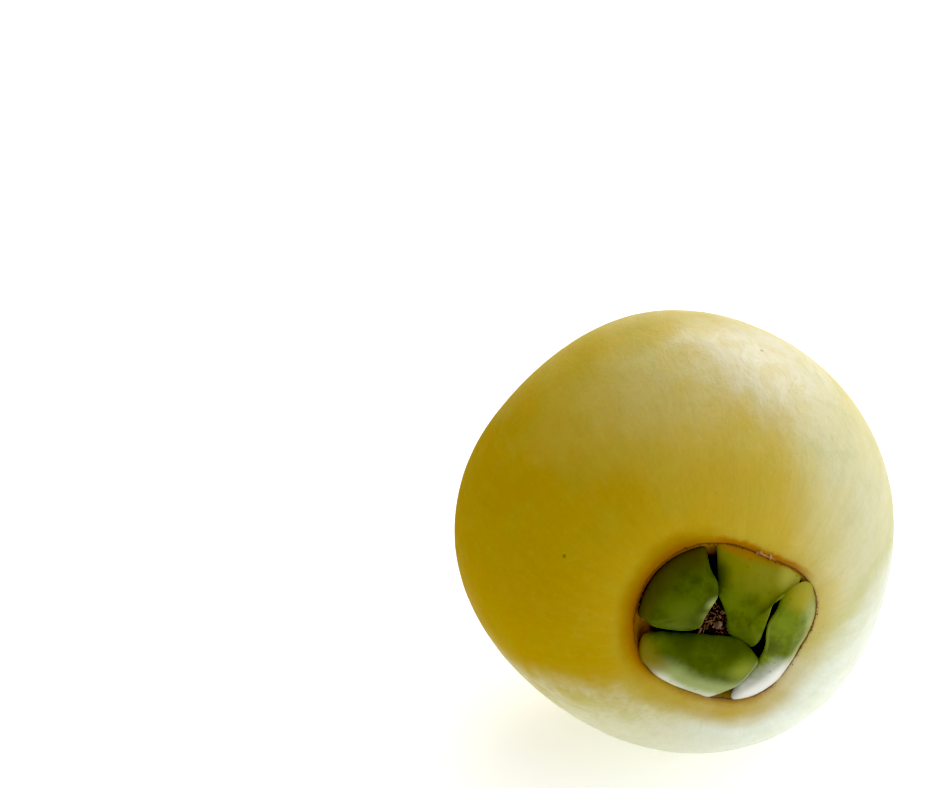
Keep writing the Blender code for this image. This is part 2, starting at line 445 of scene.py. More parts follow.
def skinMaterial():
    look = skinLook
    made, sheet, shader, place = newMaterial("waxySkin")
    x, y, z = sheet.split(place)
    z = z - fruitCentre.z
    reach = lengthOf(x, z) + 0.1 * mm
    size = lengthOf(x, y, z) + 0.1 * mm
    distance, toRight, toUp = ringPlace(x, y, z)
    isFront = y.smooth(-8.0 * mm, -14.0 * mm)

    def lengthwise(stretch, *pattern):
        return sheet.noise(sheet.join(x / reach, y * stretch, z / reach), *pattern)

    # broad drift of colour from deep gold on the left to a pale cheek: the deep gold is partly
    # painted shade, the pale parts partly painted sheen and painted reflection
    cloud = sheet.noise(place, *look["cloud"])
    fine = sheet.noise(place, 260.0, 4.0, 0.6)
    bands = lengthwise(14.0, 4.5, 3.0, 0.55) - 0.5
    cream, below = paleness(x, y, z, cloud)
    # painted sheen on the top, added to the pale share
    bloom = dot(x, y, z, look["bloomWay"]) / size + (cloud - 0.5) * 0.12
    cream = cream + bloom.smooth(0.86, 1.0) * 0.20
    cream = (cream + bands * 0.30 + (fine - 0.5) * 0.12).clamped()
    # deeper gold on the side turned away from the light, partly painted shade
    dull = dot(x, y, z, look["dullWay"]) / body["radius"] + (cloud - 0.5) * 0.9
    toCheek = x.smooth(-13.0 * mm, 3.0 * mm)
    # the white underside of the flower end: pale skin with painted reflection of the floor
    white = below.smooth(0.35, 0.95) * (cloud * 0.6 + toCheek * 0.2 + 0.35)
    white = white * (1.0 - y.smooth(-19.0 * mm, 7.0 * mm) * 0.9)
    colour = sheet.coats(
        sheet.ramp(cream, look["tones"]),
        (dull.smooth(0.15, -1.1) * 0.9 * (1.0 - below), look["deepGold"]),
        (below.smooth(0.02, 0.40) * 0.40, look["underEdge"]),
        (white, sheet.mix(toCheek, look["underLeft"], look["under"])),
        ((fine - 0.45).clamped() * 0.8, look["greenTint"]))

    # fibres under the skin run from end to end
    streaks = lengthwise(9.0, 22.0, 4.0, 0.65)
    veins = lengthwise(22.0, 75.0, 2.0, 0.6)
    streak = (streaks * 0.6 + veins * 0.4 - 0.5) * 0.26 + 1.0
    colour = sheet.mix(1.0, colour, sheet.join(streak, streak, streak * 0.98), "MULTIPLY")

    # painted highlight: bright crinkled strands of glare on the crown and below the flower end
    onCrown = (dot(x, y, z, look["crownStrands"]) / size + (cloud - 0.5) * 0.2).smooth(0.87, 1.0)
    onUnder = (dot(x, y, z, look["underStrands"]) / size + (cloud - 0.5) * 0.3).smooth(0.70, 0.95)
    onUnder = onUnder * below.smooth(0.05, 0.5)
    wrinkle = sheet.noise(sheet.join(x, y * 0.55, z), 380.0, 5.0, 0.60, 0.5)
    strands = 1.0 - (wrinkle * 2.0 - 1.0).calc("ABSOLUTE")
    bright = strands.smooth(0.55, 1.0) * fine.smooth(0.30, 0.62)
    bright = bright * (onCrown * 0.42 + onUnder * 0.45) + onCrown * 0.30

    # faint oil dots under the skin, and here and there a brown speck
    dots = sheet.cells(place, 900.0)[0].smooth(0.30, 0.10)
    speck, cellColour = sheet.cells(place, 260.0)
    speck = speck.smooth(0.075, 0.03) * sheet.split(cellColour)[0].calc("GREATER_THAN", 0.90)
    colour = sheet.coats(colour, (bright, look["strand"]), (dots * 0.04, look["dot"]),
                         (speck * 0.6, look["speck"]))

    # round the calyx: a brown halo, partly painted shade, a rusty band on the left and beneath,
    # painted shade in brown on the left, a stain over the top and on the left, elsewhere a thin line,
    # and then the wall, and painted shade on the floor of the pit
    wobble = sheet.noise(place, 420.0, 3.0) - 0.5  # millimetres, as the edge is
    ragged = (sheet.noise(place, 1200.0, 4.0, 0.7) - 0.5) * 0.8
    edge = (distance - body["ringRadius"]) / mm
    onLeft = (toUp * 0.36 - toRight * 0.93).smooth(0.25, 0.80)
    overTop = (toUp * 0.91 + toRight * 0.41).smooth(0.72, 0.94)
    beneath = (-toUp).smooth(0.60, 0.95)
    # halo: partly a brown tint, partly painted shade of the slope into the pit, weaker on the lit
    # right
    halo = (edge + wobble + toUp * 1.1).smooth(3.3, 0.4) * isFront
    halo = halo * (fine * 0.50 + 0.68) * (1.0 - toRight.smooth(0.35, 0.95) * 0.55)
    rust = (edge + wobble).smooth(2.3, 0.4) * onLeft
    rust = rust.most((edge + ragged).smooth(1.2, 0.2) * beneath * 0.6) * isFront
    # painted shade in brown on the left, where the skin dips into the pit
    shade = (edge + wobble * 0.7).smooth(0.9, -0.2) * onLeft * isFront
    stain = (edge + ragged).smooth(1.0, 0.35) * overTop.most(onLeft * 0.65) * isFront
    line = (-((edge + wobble * 0.25) / 0.17) ** 2.0).exp() * isFront
    onLine = (1.0 - onLeft) * (1.0 - overTop) * fine.smooth(0.35, 0.6) * 0.8
    wall = sheet.mix(onLeft, look["wall"], look["ledge"])
    colour = sheet.coats(
        colour,
        (halo.clamped(), look["halo"]),
        (rust * 0.85, look["rust"]),
        (shade * 0.6, look["brown"]),
        (stain * 0.9, look["stain"]),
        (line * onLine, look["line"]),
        (edge.smooth(0.1, -0.9) * isFront, wall),
        # painted shade: the floor of the pit, near black
        (edge.smooth(-1.3, -2.3) * isFront, look["pit"]))

    # the stalk's dimple is greenish, with a rusty ring
    fromStalk = reach + (cloud - 0.5) * 1.5 * mm
    isStem = y.smooth(10.0 * mm, 18.0 * mm)
    colour = sheet.coats(
        colour,
        (fromStalk.smooth(11.0 * mm, 2.5 * mm) * isStem * 0.6, look["greenTint"]),
        (fromStalk.smooth(3.4 * mm, 1.9 * mm) * isStem * 0.8, look["brown"]))

    # fine crinkle and pores, which show only where light glances off
    crinkle = sheet.noise(sheet.join(x, y * 0.55, z), 900.0, 5.0, 0.65, 0.6)
    folds = sheet.noise(sheet.join(x, y * 0.6, z), 380.0, 4.0, 0.6, 1.2)
    pores = sheet.cells(place, 1500.0)[0].smooth(0.0, 0.35)
    relief = crinkle * 0.8 + folds * (cream * 1.6 + 0.5) + pores * 0.2 + streaks * 0.3
    relief = relief + strands * onCrown.most(onUnder) * 1.5

    shader.inputs["Base Color"].default_value = (*look["tones"][0][1], 1.0)
    sheet.fill(shader, {
        "Base Color": colour,
        "Roughness": (fine - 0.5) * 0.18 - cream * look["smoothing"] + look["roughness"],
        "Specular IOR Level": look["specular"],
        "Coat Weight": cream * look["coat"] + below * look["coatUnder"] + look["coatOnGold"],
        "Coat Roughness": look["coatRoughness"],
        "Subsurface Weight": look["subsurface"],
        "Subsurface Radius": look["subsurfaceRadius"],
        "Subsurface Scale": look["subsurfaceScale"],
        "Normal": sheet.bump(relief, look["relief"]),
    })
    return made


fruit = grown("fruit_skin", drawFruit, body, (
    "radius", "halfLength", "stemTaper", "dimpleDepth", "dimpleWidth", "endRise", "endSoftness",
    "pitFloor", "pitInner", "pitOuter", "segments", "rings", "crowding", "unevenness",
    "unevenScale", "pleatDepth", "crinkle", "crinkleScale"), finish=skinMaterial())
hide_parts("fruit")
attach(fruit, "root")
print("fruit:", len(fruit.data.polygons), "faces")


# The sepals: thick lobes that curl in over the flower end

# A lobe is spanned between a spine, its crest, and a closed outline: an arc at the foot, then the
# free margin, as right, up and height in the calyx frame, in millimetres. The drop is how far the
# crest stands above the rolled edge. Bands colour it towards the ring: between two distances, round
# a direction, within two cosines, how much, colour and gloss. Patches: place, size, how much, colour.
# painted shade, where a lobe lies under another lobe or beside a gap
darkGreen = (0.042, 0.055, 0.002)
# each lobe's edge colour is a painted highlight on its rolled margin, round edgeAt
sepals = {
    "left": {
        "foot": (105.0, 172.0), "footRadius": 8.65, "footSink": 0.60, "footDrop": 1.8,
        "margin": (
            (-8.6, 1.7, 1.2), (-7.8, 1.1, 1.6), (-6.5, 0.95, 1.9), (-5.0, 0.85, 2.2),
            (-3.8, 0.90, 2.3), (-3.0, 1.5, 2.6), (-2.55, 2.9, 2.9), (-1.95, 4.4, 3.2),
            (-1.5, 5.6, 3.3), (-1.6, 6.9, 3.0), (-2.2, 7.9, 2.0),
        ),
        "drop": 0.8, "spine": ((-3.6, 6.3, 4.3), (-5.0, 3.7, 4.1)), "ease": 2.0,
        "aim": -38.0, "colour": (0.060, 0.083, 0.003),
        "edge": (0.24, 0.30, 0.09), "edgeAt": (-2.6, 2.2, 3.4),
        "bands": (
            # partly a brownish foot, partly painted shade where the foot sinks into the pit
            ((6.9, 8.8), 150.0, (-1.0, 0.2), 0.95, (0.072, 0.060, 0.004), 0.0),
        ),
        "patches": (
            # painted light: a lit spot on the dome, then painted highlights on the right margin
            ((-5.4, 4.4), 2.3, 0.75, (0.110, 0.145, 0.008)),
            ((-1.9, 4.9), 1.2, 0.80, (0.30, 0.36, 0.12)),
            ((-2.6, 3.2), 1.0, 0.50, (0.22, 0.28, 0.07)),
        ),
    },
    "upper": {
        "foot": (33.0, 96.0), "footRadius": 9.1, "footSink": 0.30, "footDrop": 0.5,
        "margin": (
            (-1.5, 8.4, 1.0), (-1.55, 6.5, 1.7), (-1.4, 5.0, 1.9), (-0.85, 3.6, 2.0),
            (-0.4, 2.3, 2.1), (-0.3, 0.9, 2.1), (0.2, -0.3, 2.0), (1.2, -1.1, 1.9), (2.3, -1.5, 2.0),
            (3.0, -0.4, 2.5), (3.35, 1.2, 2.8), (3.75, 2.95, 2.9), (4.05, 4.1, 2.8), (4.7, 4.7, 2.4),
            (5.7, 4.95, 1.7), (6.8, 5.1, 0.7),
        ),
        "drop": 0.7, "spine": ((2.9, 7.0, 2.4), (1.7, 1.9, 3.3)), "ease": 1.6,
        "aim": -108.0, "colour": (0.088, 0.115, 0.004),
        "edge": (0.17, 0.20, 0.020), "edgeAt": (4.6, 3.6, 2.8),
        "bands": (
            ((3.4, 8.4), 50.0, (0.25, 0.95), 0.85, (0.24, 0.22, 0.012), 0.0),
            ((8.1, 9.0), 66.0, (0.80, 0.95), 0.85, (0.36, 0.140, 0.004), 0.0),
        ),
        "patches": (
            ((6.2, 5.9), 2.3, 0.80, (0.42, 0.40, 0.055)),
            # painted shade: at the tip under the lower lobe, and at the left edge under the left lobe
            ((0.8, -0.2), 2.8, 0.70, (0.055, 0.075, 0.003)),
            ((-1.3, 7.0), 2.0, 0.80, darkGreen),
        ),
    },
    "right": {
        "foot": (-82.0, 18.0), "footRadius": 9.1, "footSink": 0.35, "footDrop": 0.6,
        "margin": (
            (8.1, 4.8, 0.3), (7.3, 5.5, 1.0), (6.1, 5.4, 1.7), (5.0, 4.6, 2.2), (4.45, 3.2, 2.5),
            (3.75, 2.1, 2.8), (3.55, 0.9, 2.8), (3.6, -0.6, 2.7), (3.4, -2.0, 2.3), (2.8, -3.8, 1.6),
            (2.0, -5.4, 1.1), (1.2, -6.9, 0.9),
        ),
        "drop": 0.8, "spine": ((6.6, 2.4, 3.0), (5.5, -3.0, 2.8)), "ease": 1.5,
        "aim": 170.0, "colour": (0.135, 0.180, 0.011),
        "edge": (0.22, 0.27, 0.035), "edgeAt": (4.0, 1.0, 3.6),
        "bands": (
            ((7.5, 8.9), -20.0, (0.2, 0.8), 0.85, (0.42, 0.44, 0.17), 0.1),
            # painted reflection: white glare on the outer base
            ((5.5, 7.8), -59.0, (0.82, 0.98), 1.0, (0.72, 0.72, 0.67), 0.5),
        ),
        "patches": (
            ((7.2, 4.6), 2.8, 1.0, (0.33, 0.29, 0.020)),
            # painted shade beside the gaps to the upper and lower lobes
            ((4.0, -0.6), 1.8, 0.50, darkGreen),
        ),
    },
    "lower": {
        "foot": (211.0, 264.0), "footRadius": 9.05, "footSink": 0.40, "footDrop": 0.5,
        "margin": (
            (0.5, -7.1, 1.3), (1.5, -6.2, 1.5), (2.4, -4.8, 1.8), (3.1, -3.1, 2.2), (2.5, -1.8, 2.5),
            (1.8, -0.8, 2.5), (0.9, 0.0, 2.5), (-0.5, 0.2, 2.5), (-2.6, 0.25, 2.2), (-4.8, 0.35, 1.9),
            (-6.9, 0.35, 1.6), (-8.3, -0.1, 1.4), (-8.8, -1.4, 1.3), (-8.8, -2.9, 1.4),
        ),
        "drop": 0.8, "spine": ((-5.4, -2.9, 2.8), (-0.4, -2.9, 3.5)), "ease": 1.7,
        "aim": 65.0, "colour": (0.068, 0.095, 0.003),
        "edge": (0.50, 0.54, 0.34), "edgeAt": (2.4, -5.4, 3.0),
        "bands": (
            # painted reflection of the floor on the outer band, from pale green to whitish
            ((5.2, 7.4), -105.0, (0.60, 0.90), 0.95, (0.30, 0.36, 0.12), 0.15),
            ((7.4, 9.1), -105.0, (0.66, 0.84), 0.95, (0.72, 0.73, 0.60), 0.5),
            ((6.2, 8.4), 192.0, (0.82, 0.95), 0.90, (0.22, 0.165, 0.012), 0.0),
        ),
        "patches": (
            # painted shade under the left lobe and under the upper lobe's tip
            ((-4.4, -0.9), 2.8, 0.80, darkGreen),
            ((0.4, -0.8), 2.3, 0.75, darkGreen),
            # painted light on the right of the top face
            ((1.4, -3.6), 2.2, 0.85, (0.22, 0.26, 0.020)),
        ),
    },
}
sepalBuild = {
    "thickness": 1.5,  # millimetres, as the outlines are
    "around": 120,
    "rings": 26,
    "plumpness": 5.0,
    "footSteps": 7,
    "lipMiddle": 1.0,  # the skin's lip stands higher on the lower left
    "lipTilt": 1.05,
    "lipLowAt": 38.0,
    "ripple": 0.10,
    "rippleScale": 420.0,
    "tones": (1.35, 0.72),  # the light and the dark of each green
    "crestRounding": 6,
    "outlineSteps": 1200,
    "specular": 0.08,
    "coatRoughness": 0.24,
}


# Smooth closed curve through all of the points, by share of the way round
def roundCurve(points, share):
    count = len(points)
    k = int(share * count) % count
    t = share * count - int(share * count)
    p0, p1, p2, p3 = (points[(k + step) % count] for step in (-1, 0, 1, 2))
    return 0.5 * (p1 * 2 + (p2 - p0) * t + (p0 * 2 - p1 * 5 + p2 * 4 - p3) * t ** 2
                  + (p1 * 3 - p0 - p2 * 3 + p3) * t ** 3)


def lipHeight(degrees):
    return sepalBuild["lipMiddle"] - sepalBuild["lipTilt"] * cos(
        radians(degrees - sepalBuild["lipLowAt"]))


def ringShare(degrees):
    return 1.0 + sum(share * cos(radians(waves * degrees - direction))
                     for waves, share, direction in body["ringWaves"])


# Outline points, each with the drop of its edge and a share that says how much it is foot
def lobeOutline(shape):
    points = []
    first, last = shape["foot"]
    steps = sepalBuild["footSteps"]
    for k in range(steps + 1):
        degrees = first + (last - first) * k / steps
        radius = shape["footRadius"] * ringShare(degrees)
        angle = radians(degrees)
        x = body["ringCentre"][0] / mm + radius * cos(angle)
        y = body["ringCentre"][1] / mm + radius * sin(angle)
        height = lipHeight(degrees) - shape["footSink"]
        points.append(Vector((x, y, height, shape["footDrop"], 1.0)))
    return points + [Vector((*point, shape["drop"], 0.0)) for point in shape["margin"]]


# The outline as points evenly spaced in plan, starting behind the spine's first end
def evenOutline(points, start, axis):
    steps, around = sepalBuild["outlineSteps"], sepalBuild["around"]
    fine = [roundCurve(points, k / steps) for k in range(steps + 1)]
    lengths = [0.0]
    for before, after in zip(fine, fine[1:]):
        lengths.append(lengths[-1] + (after.to_2d() - before.to_2d()).length)
    even, k = [], 0
    for step in range(around):
        goal = lengths[-1] * step / around
        while lengths[k + 1] < goal:
            k += 1
        even.append(fine[k].lerp(fine[k + 1], (goal - lengths[k]) / (lengths[k + 1] - lengths[k])))
    behind = min(range(around), key=lambda i: (even[i].to_2d() - start.to_2d()).dot(axis))
    return even[behind:] + even[:behind]


def makeSepal(name, shape, finish):
    start, end = (Vector(point) for point in shape["spine"])
    outline = evenOutline(lobeOutline(shape), start, (end - start).to_2d().normalized())
    around, rings = sepalBuild["around"], sepalBuild["rings"]
    build = bmesh.new()
    uv = build.loops.layers.uv.new("UVMap")
    shares = {}

    def placed(k, share, under):
        edge = outline[k]
        crest = start.lerp(end, 0.5 - 0.5 * cos(2 * pi * k / around))
        x, y = crest.to_2d().lerp(edge.to_2d(), share)
        height = crest.z + (edge[2] + edge[3] - crest.z) * share ** shape["ease"]
        height -= edge[3] * (1.0 - sqrt(max(1.0 - share ** sepalBuild["plumpness"], 0.0)))
        if under:
            height -= sepalBuild["thickness"] * sqrt(1.0 - share ** 2)
        spot = calyxToWorld(x * mm, y * mm, height * mm)
        wave = noise.noise(spot * sepalBuild["rippleScale"]) * sepalBuild["ripple"] * mm
        vert = build.verts.new(spot + body["calyxAxis"] * wave)
        shares[vert] = (share, edge[4] * share)
        return vert

    edgeRing = [placed(k, 1.0, False) for k in range(around)]
    for under in (False, True):
        outer = edgeRing
        for j in range(1, rings + 1):
            share = cos(pi / 2 * j / rings) if j < rings else 0.0
            inner = [placed(k, share, under) for k in range(around)]
            bridge(build, outer, inner)
            outer = inner
    bmesh.ops.remove_doubles(build, verts=build.verts[:], dist=0.0002 * mm)
    crest = [vert for vert in build.verts if shares[vert][0] < 0.3]
    for step in range(sepalBuild["crestRounding"]):
        bmesh.ops.smooth_vert(build, verts=crest, factor=0.5, use_axis_x=True, use_axis_y=True,
                              use_axis_z=True)
    bmesh.ops.recalc_face_normals(build, faces=build.faces[:])
    for face in build.faces:
        for loop in face.loops:
            loop[uv].uv = shares[loop.vert]
    return meshObject(name, build, finish)


def sepalMaterial(name, shape):
    made, sheet, shader, place = newMaterial(name)
    # the piece's own UV map says how near the outline and how near the foot a place is
    share, foot = sheet.split(sheet.add("ShaderNodeTexCoord").outputs["UV"])[:2]
    aim = radians(shape["aim"])
    x, y, z = sheet.split(place)
    along = dot(x, y, z, calyxRight * cos(aim) + calyxUp * sin(aim))
    across = dot(x, y, z, calyxUp * cos(aim) - calyxRight * sin(aim))
    mottle = sheet.noise(place, 600.0, 4.0, 0.6)
    broad = sheet.noise(place, 180.0, 2.0)
    veins = sheet.noise(sheet.join(across * 1500.0, along * 160.0, 0.0), 1.0, 3.0)
    green = shape["colour"]
    light, dark = (tuple(c * tone for c in green) for tone in sepalBuild["tones"])
    colour = sheet.coats(
        sheet.mix(mottle.smooth(0.35, 0.65), dark, light),
        (broad.smooth(0.3, 0.7) * 0.4, green),
        ((veins - 0.45).clamped() * 1.2, light))

    # bands towards the ring and soft spots, some of them painted reflection, painted light and
    # painted shade, then a painted highlight on the rolled margin
    z = z - fruitCentre.z
    right, up = (part / mm for part in calyxPlane(x, y, z)[:2])
    distance, toRight, toUp = ringPlace(x, y, z)
    wander = (broad - 0.5) * 1.4 + (mottle - 0.5) * 0.7
    distance = distance / mm + wander
    wax = 0.0
    for (start, end), middle, within, most, tone, gloss in shape["bands"]:
        amount = distance.smooth(start, end) * facing(toRight, toUp, middle, *within) * most
        colour = sheet.mix(amount, colour, tone)
        wax = amount * gloss + wax
    for (spotRight, spotUp), size, most, tone in shape["patches"]:
        spot = (lengthOf(right - spotRight, up - spotUp) + wander).smooth(size, 0.15 * size)
        colour = sheet.mix(spot * most, colour, tone)
    # painted highlight on the rolled margin, round one spot
    edgeRight, edgeUp, size = shape["edgeAt"]
    lit = lengthOf(right - edgeRight, up - edgeUp).smooth(size, 0.5 * size)
    rolled = share.smooth(0.84, 0.985) * foot.smooth(0.75, 0.35) * lit
    specks = sheet.cells(place, 900.0)[0].smooth(0.16, 0.06)
    colour = sheet.coats(colour, (rolled * 0.85, shape["edge"]), (specks * 0.35, dark))
    grain = sheet.noise(place, 1600.0, 4.0, 0.65)
    relief = grain * 0.6 + veins * 0.5 + mottle * 0.5
    sheet.fill(shader, {
        "Base Color": colour,
        "Roughness": 0.50 - wax * 0.15 + (mottle - 0.5) * 0.2,
        "Specular IOR Level": sepalBuild["specular"],
        "Coat Weight": wax + rolled * 0.25 + 0.03,
        "Coat Roughness": sepalBuild["coatRoughness"],
        "Normal": sheet.bump(relief, 0.06 * mm, 0.9),
    })
    return made


for side, shape in sepals.items():
    finish = sepalMaterial("sepalFlesh_" + side, shape)
    lobe = makeSepal("sepal_" + side + "_lobe", shape, finish)
    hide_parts("sepal_" + side)
    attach(lobe, "root")
print("sepals made")


# Corky rim where the skin meets the sepals, laid on the fruit by ray casting

rim = {
    "radius": body["ringRadius"],
    "points": 420,
    "thickness": 0.065 * mm,
    "sides": 6,
    "wander": 0.30 * mm,
    "flakes": 190,
    "flakeSize": 0.09 * mm,
    "flakeRange": (0.35, 1.25),
    "flakeShape": (1.0, 0.8, 0.35),
    "fullTurn": 6.28,
    "shakeFrom": (-0.22 * mm, -0.12 * mm, -0.22 * mm),
    "shakeTo": (0.22 * mm, 0.02 * mm, 0.22 * mm),
    "castFrom": 6.0 * mm,  # over the sepals' foot, where the rays to the skin start
    "castLength": 20.0 * mm,
    "lump": (62.0, 0.985, 0.999),  # a corky lump on the rim, in degrees, and its limits
    "lumpSize": 2.4,
    "lumpColour": (0.55, 0.32, 0.15),
    "cork": (0.13, 0.055, 0.008),
    "lowCork": (0.20, 0.085, 0.026),
    "paleCork": (0.32, 0.17, 0.05),
    "seed": 5,
}


def drawRim(sheet, given):
    circle = sheet.add("GeometryNodeCurvePrimitiveCircle",
                       {"Resolution": given["points"], "Radius": 1.0})
    cx, cy, cz = sheet.split(sheet.add("GeometryNodeInputPosition"))
    wander = (sheet.noise(sheet.join(cx, cy, 0.0), 3.0, 4.0, 0.65) - 0.5) * given["wander"] * 2.0
    reach = (given["radius"] + wander) * ringScale(cx, cy)
    start = calyxToWorld(*body["ringCentre"], rim["castFrom"])
    spot = [cx * reach * calyxRight[k] + cy * reach * calyxUp[k] + start[k] for k in range(3)]
    skin = sheet.add("GeometryNodeObjectInfo", [given["fruit"]]).outputs["Geometry"]
    onto = sheet.add("GeometryNodeRaycast",
                     {"Target Geometry": skin, "Source Position": sheet.join(*spot),
                      "Ray Direction": tuple(-body["calyxAxis"]),
                      "Ray Length": rim["castLength"]})
    line = sheet.add("GeometryNodeSetPosition",
                     {"Geometry": circle, "Position": onto.outputs["Hit Position"]})
    patchy = sheet.noise(sheet.join(cx, cy, 1.7), 7.0, 4.0, 0.7).smooth(0.40, 0.70) * 1.4 + 0.12
    patchy = patchy * ((cx * -0.9 + cy * 0.45).smooth(0.25, 0.8) * -0.96 + 1.0)
    profile = sheet.add("GeometryNodeCurvePrimitiveCircle",
                        {"Resolution": given["sides"], "Radius": given["thickness"]})
    tube = sheet.add("GeometryNodeCurveToMesh",
                     {"Curve": line, "Profile Curve": profile, "Scale": patchy})

    # small scales of cork sit on the line
    spots = sheet.add("GeometryNodeCurveToPoints", {"Curve": line, "Count": given["flakes"]})
    turn = sheet.add("FunctionNodeRandomValue",
                     {"Seed": given["seed"], "Min": (0, 0, 0), "Max": (rim["fullTurn"],) * 3},
                     data_type="FLOAT_VECTOR")
    size = sheet.add("FunctionNodeRandomValue", data_type="FLOAT")
    for label, value in zip(("Min", "Max", "Seed"), (*rim["flakeRange"], given["seed"])):
        sheet.feed([s for s in size.inputs if s.name == label and s.enabled][0], value)
    scale = Formula(sheet, [s for s in size.outputs if s.enabled][0]) ** 2.0 * given["flakeSize"]
    toRight, toUp = ringPlace(cx, cy, cz - fruitCentre.z)[1:]
    scale = scale * (facing(toRight, toUp, *rim["lump"]) * rim["lumpSize"] + 1.0)
    chip = sheet.add("GeometryNodeMeshIcoSphere", {"Radius": 1.0, "Subdivisions": 1})
    flat = sheet.add("GeometryNodeTransform", {"Geometry": chip, "Scale": rim["flakeShape"]})
    shake = sheet.add("FunctionNodeRandomValue", {"Min": rim["shakeFrom"], "Max": rim["shakeTo"]},
                      data_type="FLOAT_VECTOR")
    loose = sheet.add("GeometryNodeSetPosition", {"Geometry": spots, "Offset": shake})
    flakes = sheet.add("GeometryNodeInstanceOnPoints",
                       {"Points": loose, "Instance": flat, "Rotation": turn,
                        "Scale": sheet.join(scale, scale, scale)})
    together = sheet.add("GeometryNodeJoinGeometry")
    for piece in (flakes, tube):
        sheet.feed(together.inputs[0], piece)
    return together


def corkMaterial():
    made, sheet, shader, place = newMaterial("corkyRim")
    x, y, z = sheet.split(place)
    toRight, toUp = ringPlace(x, y, z - fruitCentre.z)[1:]
    low = (toRight * 0.6 - toUp * 0.8).smooth(-0.2, 0.8)
    patch = sheet.noise(place, 500.0, 4.0, 0.7)
    colour = sheet.coats(
        sheet.mix(low, rim["cork"], rim["lowCork"]),
        (patch.smooth(0.55, 0.8) * 0.5, rim["paleCork"]),
        (facing(toRight, toUp, *rim["lump"]) * 0.8, rim["lumpColour"]))
    grain = sheet.noise(place, 3000.0, 3.0)
    sheet.fill(shader, {"Base Color": colour, "Roughness": 0.8,
                        "Normal": sheet.bump(grain, 0.04 * mm)})
    return made


corkyRim = grown("corky_rim", drawRim, rim, (
    "radius", "points", "thickness", "sides", "wander", "flakes", "flakeSize", "seed"),
    fruit=fruit, finish=corkMaterial())
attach(corkyRim, "root")
print("rim:", len(corkyRim.data.polygons), "faces")


# The withered style and stamen stubs between the sepal tips

tuft = {
    "centre": (-1.25, 1.45, 1.9),  # millimetres in the calyx frame
    "threads": 150,
    "spread": 1.35,
    "length": (1.1, 2.5),
    "curl": (0.3, 1.6),
    "thread": 0.075,
    "anther": 1.9,  # swelling of a thread's last part, past antherFrom
    "antherFrom": 0.85,
    "rootDepth": 1.4,
    "steps": 7,
    "sides": 6,
    "seed": 11,
    "styleFoot": -1.5,
    "styleTop": 2.4,
    "style": 0.42,
    "dark": (0.050, 0.026, 0.010),
    "light": (0.30, 0.17, 0.10),
}


def addTube(build, path, radii, sides):
    rings = []
    for k, point in enumerate(path):
        before, after = path[max(k - 1, 0)], path[min(k + 1, len(path) - 1)]
        tangent = (after - before).normalized()
        first = tangent.orthogonal().normalized()
        second = tangent.cross(first)
        ring = []
        for s in range(sides):
            angle = 2 * pi * s / sides
            offset = first * cos(angle) + second * sin(angle)
            ring.append(build.verts.new(point + offset * radii[k]))
        rings.append(ring)
    for lower, upper in zip(rings, rings[1:]):
        bridge(build, lower, upper)
    build.faces.new(rings[0][::-1])
    build.faces.new(rings[-1])


def makeTuft(finish):
    draw = random.Random(tuft["seed"])
    build = bmesh.new()
    cx, cy, cz = tuft["centre"]
    for k in range(tuft["threads"] + 1):
        isStyle = k == tuft["threads"]
        angle = draw.uniform(0, 2 * pi)
        ring = sqrt(draw.uniform(0.02, 1.0)) * tuft["spread"]
        reach = draw.uniform(*tuft["length"])
        bend = draw.uniform(0, 2 * pi)
        curl = draw.uniform(*tuft["curl"])
        path, radii = [], []
        for i in range(tuft["steps"] + 1):
            share = i / tuft["steps"]
            if isStyle:
                x, y = cx * share ** 1.5, cy * share ** 1.5
                h = tuft["styleFoot"] + (tuft["styleTop"] - tuft["styleFoot"]) * share
                radius = tuft["style"] * (1.1 - 0.5 * sin(pi * share))
            else:
                out = ring * (0.7 + 0.5 * share)
                hook = curl * share ** 2
                x = cx + out * cos(angle) + hook * cos(bend)
                y = cy + out * sin(angle) + hook * sin(bend)
                h = cz - tuft["rootDepth"] + reach * share * (1.0 - 0.35 * share)
                swell = tuft["anther"] if share > tuft["antherFrom"] else 1.0
                radius = tuft["thread"] * (1.0 - 0.35 * share) * swell
            path.append(calyxToWorld(x * mm, y * mm, h * mm))
            radii.append(radius * mm)
        addTube(build, path, radii, tuft["sides"])
    return meshObject("dried_tuft", build, finish)


def tuftMaterial():
    made, sheet, shader, place = newMaterial("driedTuft")
    patch = sheet.noise(place, 1400.0, 3.0, 0.7)
    sheet.fill(shader, {"Base Color": sheet.mix(patch.smooth(0.35, 0.7), tuft["dark"], tuft["light"]),
                        "Roughness": 0.85, "Normal": sheet.bump(patch, 0.05 * mm)})
    return made


driedTuft = makeTuft(tuftMaterial())
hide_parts("style")
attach(driedTuft, "root")


# The cut stalk at the other end

stalk = {
    "foot": body["halfLength"] - body["dimpleDepth"] + 0.1 * mm,
    "length": 7.6 * mm,
    "radius": 1.4 * mm,
    "bend": 1.2 * mm,
    "lift": 0.4,  # how much of the bend goes up as well
    "sides": 40,
    "rings": 34,
    "ridge": 0.10 * mm,
    "cutRings": 7,
    "cutRadius": 0.97,
    "cutDepth": 0.10 * mm,
    "tear": 0.12 * mm,
    "bark": (0.075, 0.042, 0.020),
    "paleBark": (0.25, 0.16, 0.085),
    "moss": (0.16, 0.15, 0.06),
    "wood": (0.34, 0.23, 0.11),
    "paleWood": (0.48, 0.37, 0.20),
}


def roundNoise(angle, width, height):
    return noise.noise(Vector((cos(angle) * width, sin(angle) * width, height)))


